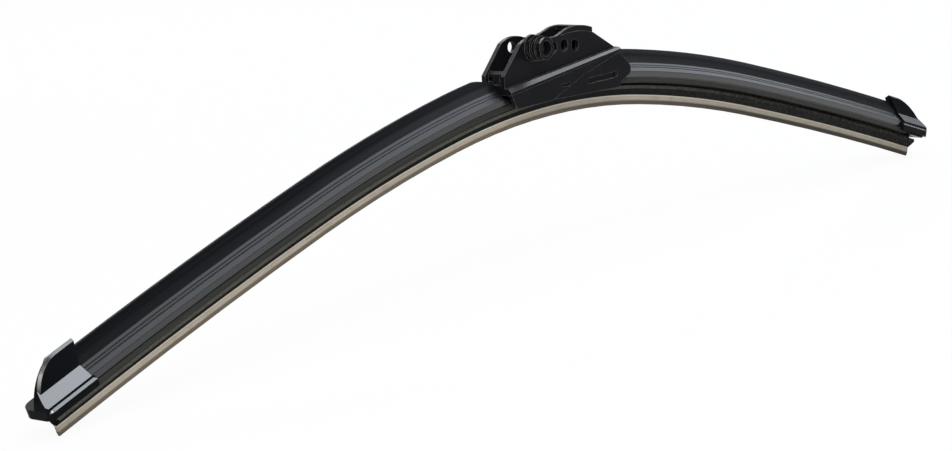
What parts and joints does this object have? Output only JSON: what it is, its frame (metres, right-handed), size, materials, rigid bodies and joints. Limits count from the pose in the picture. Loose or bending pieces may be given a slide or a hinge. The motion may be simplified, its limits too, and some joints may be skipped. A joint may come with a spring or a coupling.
{
  "type": "wiper blade",
  "caption": "Bowed flat wiper blade with a leaning air spoiler, moulded end caps, a rubber wiping lip and a clip-on connector for arms with a side pin or a hook.",
  "frame": {"origin": "on the axis of the arm's pin, midway between the connector's side plates", "axes": "+X along the blade, -Y to the windward side of the spoiler where the pin leaves, +Z away from the glass"},
  "size_m": [0.596, 0.0237, 0.1037],
  "materials": {
    "rubber": "matte black, with a pale coated lip",
    "spring_steel": "satin",
    "spoiler_plastic": "semi-gloss black",
    "cap_plastic": "gloss black",
    "connector_plastic": "satin black"
  },
  "bodies": {
    "root": {"wiper_rubber": "rubber", "spring_rail_front": "spring_steel", "spring_rail_rear": "spring_steel", "spoiler_left": "spoiler_plastic", "spoiler_right": "spoiler_plastic", "end_cap_left": "cap_plastic", "end_cap_right": "cap_plastic", "connector_base": "connector_plastic", "connector_housing": "connector_plastic", "pin_sleeve": "connector_plastic"}
  },
  "joints": []
}
